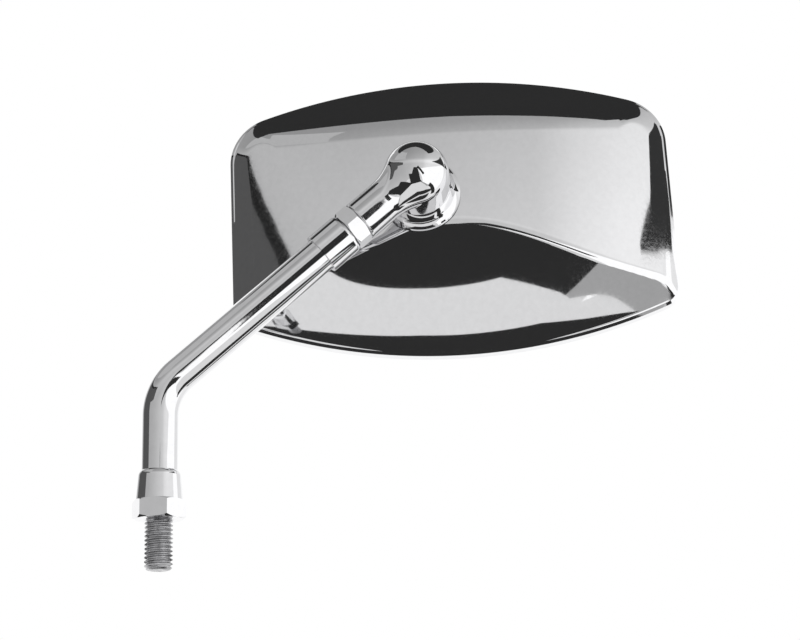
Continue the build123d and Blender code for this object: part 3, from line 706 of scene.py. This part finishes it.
def housing_height(x, y, rim, housing):
    """Height of the housing's back above the rim: the least of a barrel, two walls, a facet and the corners.

    The barrel is a cylinder, the upper wall a cone on the rim's arc, the ends are planes, and each corner is
    a cone whose slope passes from one neighbour's to the other's. Where two meet they are blended.
    """
    barrel = np.sqrt(housing.barrel**2 - x**2) - housing.barrel - y * np.sin(housing.pitch)
    barrel = rim.depth + barrel / np.cos(housing.pitch)
    top_slope = (rim.depth - housing.band) / housing.top_run
    end_slope = 1 / np.tan(housing.end_draft)
    top = (rim.top_radius - housing.ledge - np.hypot(x, y - rim.top_axis)) * top_slope
    end = (rim.half - housing.ledge - np.abs(x)) * end_slope
    away_x, away_y = np.abs(x) - rim.upper_x, y - rim.upper_y
    share = np.clip(np.arctan2(away_y, away_x) / rim.upper_angle, 0, 1)
    share = share * share * (3 - 2 * share)
    corner = housing.top_corner - housing.ledge - np.hypot(away_x, away_y)
    corner = corner * (end_slope + (top_slope - end_slope) * share)
    in_corner = (away_y > 0) & (away_y < away_x * np.tan(rim.upper_angle))
    walls = np.where(in_corner, corner, smooth_least(top, end, housing.end_blend)) + housing.band
    back = smooth_least(barrel, walls, housing.top_blend)
    facet = facet_height(x, y, rim, housing)
    return np.maximum(smooth_least(back, facet, housing.crease_blend), housing.band)


def housing_points(housing):
    """Rows round the sheet: its inner skin out to the rim, the band, and the outer skin back to the hole."""
    rim = Rim(housing)
    edge, outward = rim.outline(housing)
    foot_edge = edge - housing.ledge * outward
    to_edge = foot_edge - rim.foot
    hole = rim.foot + housing.hole * to_edge / np.linalg.norm(to_edge, axis=-1, keepdims=True)
    share = np.linspace(1, 0, SKIN_ROWS)[:, None, None]
    skin = hole + share * (foot_edge - hole)
    height = housing_height(skin[..., 0], skin[..., 1], rim, housing)
    inner = slice(None, None, -INNER_STRIDE)
    step_in = np.sin(np.linspace(0, np.pi / 2, LEDGE_ROWS))
    rounded = edge - housing.ledge * outward * step_in[:, None, None]
    rounded_height = housing.band - housing.ledge * (1 - step_in)
    inner_edge = edge - housing.sheet * outward
    plan = np.concatenate([skin[inner], inner_edge[None], inner_edge[None], edge[None], rounded, skin])
    level = np.concatenate([[housing.band - housing.sheet, 0, 0], rounded_height])
    level = np.repeat(level[:, None], len(edge), axis=1)
    return rim.raised(plan, np.concatenate([height[inner] - housing.sheet, level, height]))


class MIRROR_OT_housing(bpy.types.Operator):
    """Build the pressed housing with its softly blended faces"""

    bl_idname = "mirror.housing"
    bl_label = "Housing"

    def execute(self, context):
        points = housing_points(settings("mirror_housing"))
        faces = tube_faces(*points.shape[:2], ring=True).tolist()
        piece = smooth_piece("housing_surface", points, faces, "mirror", "chrome", finish("plate_pressed"))
        piece.data.set_sharp_from_angle(angle=PRESSED_EDGE)
        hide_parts("housing")
        return {"FINISHED"}


def glass_points(glass, housing):
    """Rows over the glass: two spheres about one centre, the front out to the edge and the back in again."""
    rim = Rim(housing)
    edge, outward = rim.outline(housing)
    share = np.linspace(0, 1, GLASS_ROWS)[:, None, None]
    plan = share * (edge - glass.inset * outward)
    off_axis = np.sum(plan**2, axis=-1)
    centre = glass.radius - glass.proud
    front = centre - np.sqrt(glass.radius**2 - off_axis)
    back = centre - np.sqrt((glass.radius - glass.thickness) ** 2 - off_axis)
    return rim.raised(np.concatenate([plan, plan[::-1]]), np.concatenate([front, back[::-1]]))


class MIRROR_OT_glass(bpy.types.Operator):
    """Build the convex glass"""

    bl_idname = "mirror.glass"
    bl_label = "Glass"

    def execute(self, context):
        points = glass_points(settings("mirror_glass"), settings("mirror_housing"))
        faces = tube_faces(*points.shape[:2]).tolist()
        piece = smooth_piece("glass_surface", points, faces, "mirror", "mirror", finish("silvered_glass"))
        weld(piece)
        piece.data.set_sharp_from_angle(angle=PRESSED_EDGE)
        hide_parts("mirror_glass")
        return {"FINISHED"}


def throat_place(head):
    """Throat's centre, along the tube's axis and out from it, and where the throat leaves the dome."""
    out = head.tube + head.throat
    along = np.sqrt((head.cup + head.throat) ** 2 - out**2)
    return along, out, along * head.cup / (head.cup + head.throat)


def elbow_radius(along, head):
    """Radius about the tube's axis: the dome's circle, then the throat's arc, then the tube."""
    throat_along, throat_out, start = throat_place(head)
    dome = np.sqrt(np.maximum(head.cup**2 - along**2, 0))
    throat = throat_out - np.sqrt(np.maximum(head.throat**2 - (along - throat_along) ** 2, 0))
    return np.where(along < start, dome, np.where(along < throat_along, throat, head.tube))


def elbow_points(head, axes):
    """Dome and tube: rings about the tube's axis, those over the cup open where they meet its skirt."""
    start = throat_place(head)[2]
    turn = np.linspace(np.pi, 0, CUP_COLUMNS // 2 + 1)
    along = head.cup * np.cos(turn)
    radius = elbow_radius(along, head)
    meeting = np.pi - np.arcsin(head.cup * np.sin(turn) / np.maximum(radius, SIZE_MARGIN))
    half = np.where(along <= start, np.pi / 2, meeting)
    tube = np.linspace(head.cup, head.reach - head.tube_round, TUBE_ROWS)[1:]
    rounding = np.linspace(0, np.pi / 2, ROUND_ROWS)[1:]
    end = head.reach - head.tube_round * (1 - np.sin(rounding))
    end_radius = head.tube - head.tube_round * (1 - np.cos(rounding))
    along = np.concatenate([along, tube, end, [head.reach, head.bore_stop, head.bore_stop]])
    radius = np.concatenate([radius, elbow_radius(tube, head), end_radius, [head.bore, head.bore, 0]])
    half = np.concatenate([half, np.full(len(along) - len(half), np.pi)])
    angle = half[:, None] * np.linspace(-1, 1, TUBE_COLUMNS + 1)
    along = np.broadcast_to(along[:, None], angle.shape)
    places = np.stack([along, radius[:, None] * np.sin(angle), radius[:, None] * np.cos(angle)], axis=-1)
    return CUP_CENTRE + places @ axes


def skirt_points(head, axes):
    """Skirt: rings about the cup's axis from the dome down to the lip, and up again round the hollow."""
    start = throat_place(head)[2]
    turn = np.linspace(0, 2 * np.pi, CUP_COLUMNS, endpoint=False)
    along = head.cup * np.cos(turn)
    side = head.cup * np.sin(turn)
    drop = np.sqrt(np.maximum(elbow_radius(along, head) ** 2 - side**2, 0))
    top = np.where(along <= start, 0, -drop)
    share = np.linspace(0, 1, SKIRT_ROWS)[:, None]
    wall = top + share * (head.lip_round - head.skirt - top)
    rounding = np.linspace(0, np.pi / 2, ROUND_ROWS)[1:]
    lip_radius = head.cup - head.lip_round * (1 - np.cos(rounding))
    lip = head.lip_round * (1 - np.sin(rounding)) - head.skirt
    foot = np.linalg.norm(CUP_CENTRE - FOOT_CENTRE)
    shelf_lean = np.arccos((foot - head.shelf) / head.ceiling)
    bolt_lean = np.arcsin(head.bolt_hole / head.ceiling)
    lean = np.linspace(shelf_lean, bolt_lean, CEILING_ROWS)
    cavity = head.cup - head.lip_wall
    radius = np.concatenate([
        np.full(SKIRT_ROWS, head.cup), lip_radius, [cavity, cavity], head.ceiling * np.sin(lean),
        [head.bolt_hole, 0],
    ])
    inside = np.concatenate([
        lip, [-head.skirt, -head.shelf], head.ceiling * np.cos(lean) - foot, [head.bolt_top, head.bolt_top],
    ])
    height = np.concatenate([wall, np.repeat(inside[:, None], CUP_COLUMNS, axis=1)])
    places = np.stack([radius[:, None] * np.cos(turn), radius[:, None] * np.sin(turn), height], axis=-1)
    return CUP_CENTRE + places @ axes


class MIRROR_OT_head(bpy.types.Operator):
    """Build the swivel head: its domed cup, throat and tube"""

    bl_idname = "mirror.head"
    bl_label = "Head"

    def execute(self, context):
        head = settings("mirror_head")
        axes = np.stack([-ROD_DIR, np.cross(FOOT_Z, -ROD_DIR), FOOT_Z])
        elbow = elbow_points(head, axes)
        skirt = skirt_points(head, axes)
        elbow_faces = sheet_faces(*elbow.shape[:2])
        skirt_faces = tube_faces(*skirt.shape[:2]) + elbow.shape[0] * elbow.shape[1]
        points = np.concatenate([elbow.reshape(-1, 3), skirt.reshape(-1, 3)])
        faces = elbow_faces.tolist() + skirt_faces.tolist()
        piece = smooth_piece("head_surface", points, faces, "head", "chrome", finish("plate_turned"))
        weld(piece)
        piece.data.set_sharp_from_angle(angle=TURNED_EDGE)
        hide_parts("swivel_head")
        return {"FINISHED"}


# The world's light, and its tones in reflections: by the height of a direction, and by how far it points to
# the right, each a component of the direction and a tone.
LIGHT_TONE = 0.9
LIGHT_STRENGTH = 0.6
ROOM_STRENGTH = 0.75
ROOM_HEIGHTS = (
    (-1.0, 1.0), (0.0, 0.88), (0.3, 0.84), (0.42, 0.97), (0.48, 0.98), (0.55, 0.78), (0.62, 0.64),
    (0.8, 0.58), (0.97, 0.5),
)
ROOM_SIDES = ((-0.8, 0.75), (-0.45, 0.84), (0.0, 1.0), (0.36, 1.1), (0.53, 1.33), (0.68, 1.44))


def room_ramp(tree, value, stops):
    """Tone that follows a component of the direction through stops, each a component and a tone."""
    level = tree.nodes.new("ShaderNodeMapRange")
    level.inputs["From Min"].default_value = -1.0
    tree.links.new(value, level.inputs["Value"])
    ramp = tree.nodes.new("ShaderNodeValToRGB")
    tree.links.new(level.outputs["Result"], ramp.inputs["Fac"])
    tones = ramp.color_ramp.elements
    tones.remove(tones[1])
    for number, (component, tone) in enumerate(stops):
        place = (component + 1) / 2
        if number:
            tones.new(place)
        tones[number].position = place
        tones[number].color = grey(tone)
    return ramp.outputs["Color"]


def ray_choice(tree, kind, others, chosen):
    """Shader that is the chosen one for a kind of ray, and another for the others."""
    mix = tree.nodes.new("ShaderNodeMixShader")
    tree.links.new(tree.nodes.new("ShaderNodeLightPath").outputs[kind], mix.inputs["Fac"])
    tree.links.new(others, mix.inputs[1])
    tree.links.new(chosen, mix.inputs[2])
    return mix.outputs["Shader"]


def white_world():
    """World: white behind the object, softly bright as light, and shaded like a room in reflections."""
    world = bpy.data.worlds.new("studio")
    bpy.context.scene.world = world
    world.use_nodes = True
    tree = world.node_tree
    light = tree.nodes["Background"]
    light.inputs["Color"].default_value = grey(LIGHT_TONE)
    light.inputs["Strength"].default_value = LIGHT_STRENGTH
    backdrop = tree.nodes.new("ShaderNodeBackground")
    backdrop.inputs["Color"].default_value = grey(1.0)
    room = tree.nodes.new("ShaderNodeBackground")
    room.inputs["Strength"].default_value = ROOM_STRENGTH
    way = tree.nodes.new("ShaderNodeSeparateXYZ")
    tree.links.new(tree.nodes.new("ShaderNodeTexCoord").outputs["Generated"], way.inputs["Vector"])
    shade = tree.nodes.new("ShaderNodeVectorMath")
    shade.operation = "MULTIPLY"
    tree.links.new(room_ramp(tree, way.outputs["Z"], ROOM_HEIGHTS), shade.inputs[0])
    tree.links.new(room_ramp(tree, way.outputs["X"], ROOM_SIDES), shade.inputs[1])
    tree.links.new(shade.outputs["Vector"], room.inputs["Color"])
    unseen = ray_choice(tree, "Is Glossy Ray", light.outputs["Background"], room.outputs["Background"])
    seen = ray_choice(tree, "Is Camera Ray", unseen, backdrop.outputs["Background"])
    tree.links.new(seen, tree.nodes["World Output"].inputs["Surface"])


# Far cards of the studio, seen only in reflections. Each has four corners, lower left, lower right, upper
# right and upper left, as an azimuth from the camera's side towards +X and a height, both in degrees, and
# then its tone. A later card hangs nearer and covers the earlier ones.
DARK = 0.03
FAR_CARDS = {
    "card_backdrop": ((145, -45), (225, -45), (225, 45), (145, 45), 1.1),
    "card_table": ((-75, -80), (75, -80), (75, -33), (-75, -33), 0.84),
    "card_low_back": ((64, -86), (260, -86), (260, -50), (64, -56), DARK),
    "card_window": ((34, -50), (110, -36), (110, 24), (6, -2), 1.25),
    "card_low_grey": ((24, -47.5), (64, -53), (64, -47), (26, -44), 0.42),
    "card_low_right": ((64, -48), (124, -48), (124, -37), (64, -37), DARK),
    "card_high_left": ((-95, 37), (-40, 35), (-46, 60), (-95, 60), 0.52),
    "card_front": ((-28, -58), (5, -58), (9, -18), (-28, -16), DARK),
    "card_front_top": ((-18, -21), (12, -23), (3, 4), (-9, 5), DARK),
    "card_stripe": ((1, 5), (24, -20), (29, -15), (6, 10), DARK),
    "card_diagonal": ((5, -58), (13, -58), (17, -37.5), (9, -18), DARK),
    "card_diagonal_end": ((13, -58), (24, -58), (26, -44), (17, -37.5), DARK),
    "card_left": ((-120, 4), (-67, 4), (-67, 27), (-120, 31.5), 0.1),
    "card_left_near": ((-67, 17.5), (-47, 17.5), (-47, 23.4), (-67, 27), 0.1),
    "card_strip": ((-125, 31.5), (-67, 27), (-66, 28.3), (-125, 33.5), 0.02),
    "card_strip_near": ((-67, 27), (-47, 23.4), (-47, 24.8), (-66, 28.3), 0.02),
    "card_right": ((58.5, 26.9), (118, 19.2), (118, 40), (58.5, 27.3), 0.04),
    "card_back": ((62, 54), (270, 54), (270, 90), (62, 90), DARK),
}
CARD_CENTRE = np.array([0.09, 0.0, 0.11])
CARD_DISTANCE = 2.5
CARD_SPACING = 0.02
CARD_STEPS = 32

# Flat cards just above the stud's tip, seen only in reflections. Each has stations from left to right, an x,
# the front edge's y and the back edge's y, then its height, all in metres, and its tone.
FLAT_CARDS = {
    "card_low_strip": (
        (
            (-0.03, 0.005, 0.016), (0.018, -0.005, 0.016), (0.086, -0.02, 0.016), (0.168, -0.024, 0.016),
            (0.2, -0.012, 0.016), (0.26, 0.005, 0.03),
        ),
        -0.016, DARK,
    ),
    "card_low_sheet": (
        (
            (-0.06, -0.09, 0.03), (0.036, -0.1, 0.03), (0.086, -0.12, 0.03), (0.141, -0.137, 0.03),
            (0.184, -0.07, 0.03), (0.21, -0.01, 0.03),
        ),
        -0.0165, 0.84,
    ),
}


def far_card(distance, lower_left, lower_right, upper_right, upper_left):
    """Patch of a sphere: every point lies one distance from the centre, between four corners' directions."""
    share = np.linspace(0, 1, CARD_STEPS)
    along, up = (grid[..., None] for grid in np.meshgrid(share, share))
    lower = np.array(lower_left) * (1 - along) + np.array(lower_right) * along
    upper = np.array(upper_left) * (1 - along) + np.array(upper_right) * along
    azimuth, height = np.moveaxis(np.radians(lower * (1 - up) + upper * up), -1, 0)
    rays = np.stack(
        [np.sin(azimuth) * np.cos(height), -np.cos(azimuth) * np.cos(height), np.sin(height)], axis=-1
    )
    return CARD_CENTRE + distance * rays


def flat_card(stations, height):
    """Level sheet at one height, from a front edge to a back edge given at stations across."""
    x, front, back = np.transpose(stations)
    level = np.full(len(x), height)
    return np.stack([np.column_stack([x, front, level]), np.column_stack([x, back, level])])


def studio_card(name, points, tone):
    """Glowing sheet over a grid of points, seen by glossy rays only."""
    recipe = Recipe(name)
    recipe.fix(Base_Color=grey(0.0), Specular_IOR_Level=0.0)
    recipe.fix(Emission_Color=grey(1.0), Emission_Strength=tone)
    card = linked_mesh(name, points, sheet_faces(*points.shape[:2]).tolist(), recipe.material)
    card.visible_camera = False
    card.visible_diffuse = False
    card.visible_shadow = False
    card.visible_transmission = False


def reflection_cards():
    """All the cards of the studio: the far ones, each a little nearer than the last, and the flat ones."""
    for number, (name, (*corners, tone)) in enumerate(FAR_CARDS.items()):
        studio_card(name, far_card(CARD_DISTANCE - CARD_SPACING * number, *corners), tone)
    for name, (stations, height, tone) in FLAT_CARDS.items():
        studio_card(name, flat_card(stations, height), tone)


# Half the floor's width, the sensor's width in millimetres, and the soft lights: each a place, a target, a
# width in metres and a power in watts.
FLOOR_HALF = 4.0
SENSOR_WIDTH = 36.0
LIGHTS = {
    "light_front": ((0.1, -0.9, 0.75), (0.1, 0.0, 0.1), 1.2, 14.0),
    "light_left": ((-0.9, -0.5, 0.4), (0.05, 0.0, 0.1), 0.8, 6.0),
}


def pale_floor(height):
    """Wide pale floor with a faint mottle, left out of reflections."""
    recipe = Recipe("pale_floor")
    mottle = recipe.noise(scale=3.0, detail=3.0)
    recipe.feed("Base Color", recipe.shade(mottle, grey(0.86), grey(0.9)))
    recipe.fix(Roughness=0.8, Specular_IOR_Level=0.1)
    corners = FLOOR_HALF * np.array([[-1, -1], [1, -1], [1, 1], [-1, 1]])
    points = np.column_stack([corners, np.full(len(corners), height)])
    floor = linked_mesh("floor", points, [[0, 1, 2, 3]], recipe.material)
    floor.visible_glossy = False


def soft_light(name, place, target, size, power):
    """Square area light at a place, facing a target, left out of reflections."""
    data = bpy.data.lights.new(name, "AREA")
    data.size = size
    data.energy = power
    lamp = bpy.data.objects.new(name, data)
    lamp.location = place
    lamp.rotation_euler = (Vector(target) - Vector(place)).to_track_quat("-Z", "Y").to_euler()
    bpy.context.scene.collection.objects.link(lamp)
    lamp.visible_glossy = False


def aimed_camera(stage):
    """Camera on a sphere round the origin, its line of sight moved off the origin and rolled."""
    back = np.array(
        [
            np.sin(stage.azimuth) * np.cos(stage.elevation),
            -np.cos(stage.azimuth) * np.cos(stage.elevation),
            np.sin(stage.elevation),
        ]
    )
    level = np.cross(-back, (0.0, 0.0, 1.0))
    level = level / np.linalg.norm(level)
    upright = np.cross(level, -back)
    right = np.cos(stage.roll) * level + np.sin(stage.roll) * upright
    up = np.cos(stage.roll) * upright - np.sin(stage.roll) * level
    place = back * stage.distance + right * stage.aim_right + up * stage.aim_up
    data = bpy.data.cameras.new("camera")
    data.sensor_width = SENSOR_WIDTH
    data.lens = stage.lens
    camera = bpy.data.objects.new("camera", data)
    turn = np.eye(4)
    turn[:3, 0], turn[:3, 1], turn[:3, 2], turn[:3, 3] = right, up, back, place
    camera.matrix_world = Matrix(turn.tolist())
    bpy.context.scene.collection.objects.link(camera)
    bpy.context.scene.camera = camera


class MIRROR_OT_stage(bpy.types.Operator):
    """Set up the world, the floor, the reflection cards, the soft lights and the camera"""

    bl_idname = "mirror.stage"
    bl_label = "Stage"

    def execute(self, context):
        stage = settings("mirror_stage")
        white_world()
        pale_floor(stage.floor)
        reflection_cards()
        for name, light in LIGHTS.items():
            soft_light(name, *light)
        aimed_camera(stage)
        context.scene.view_settings.view_transform = "Standard"
        return {"FINISHED"}


class MIRROR_PT_build(bpy.types.Panel):
    """Sidebar panel with the steps of the build"""

    bl_idname = "MIRROR_PT_build"
    bl_label = "Motorcycle mirror"
    bl_space_type = "VIEW_3D"
    bl_region_type = "UI"
    bl_category = "Mirror"

    def draw(self, context):
        for step in STEPS:
            self.layout.operator(step.bl_idname)


GROUPS = {
    "mirror_stem": StemSettings,
    "mirror_housing": HousingSettings,
    "mirror_head": HeadSettings,
    "mirror_glass": GlassSettings,
    "mirror_finish": FinishSettings,
    "mirror_stage": StageSettings,
}
STEPS = (
    MIRROR_OT_finishes, MIRROR_OT_stem, MIRROR_OT_head, MIRROR_OT_housing, MIRROR_OT_glass, MIRROR_OT_stage
)
CLASSES = (*GROUPS.values(), *STEPS, MIRROR_PT_build)


def register():
    """Register the classes and hang the settings on the scene."""
    for item in CLASSES:
        bpy.utils.register_class(item)
    for name, group in GROUPS.items():
        setattr(bpy.types.Scene, name, PointerProperty(type=group))


def unregister():
    """Take the settings and the classes away again."""
    for name in GROUPS:
        delattr(bpy.types.Scene, name)
    for item in reversed(CLASSES):
        bpy.utils.unregister_class(item)


def main():
    """Build the dressed mirror."""
    register()
    bpy.ops.mirror.finishes()
    bpy.ops.mirror.stem()
    bpy.ops.mirror.head()
    bpy.ops.mirror.housing()
    bpy.ops.mirror.glass()
    bpy.ops.mirror.stage()


if __name__ == "__main__":
    main()
